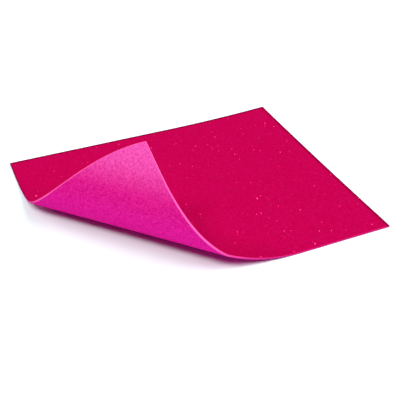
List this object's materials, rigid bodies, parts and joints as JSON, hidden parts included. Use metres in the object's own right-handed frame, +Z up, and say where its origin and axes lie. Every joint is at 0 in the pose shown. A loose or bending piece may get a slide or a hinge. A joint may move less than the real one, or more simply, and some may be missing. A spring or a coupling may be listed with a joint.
{
  "type": "craft foam sheet",
  "caption": "Thin rectangular craft foam sheet with a glitter face, lying flat, one corner curled up and over to show the bare underside.",
  "frame": {"origin": "centre of the sheet's outline, on its underside, at the level that it lies on", "axes": "+X along the sheet's long edges, away from the curled corner; +Y across it, towards the edge that has no curl; +Z up, out of the glitter face"},
  "size_m": [0.3048, 0.254, 0.0937],
  "materials": {
    "foam": "matte, fine closed-cell foam",
    "glitter_coat": "fine glitter flakes bonded over one whole face"
  },
  "bodies": {
    "root": {"foam_sheet": "foam"}
  },
  "joints": []
}
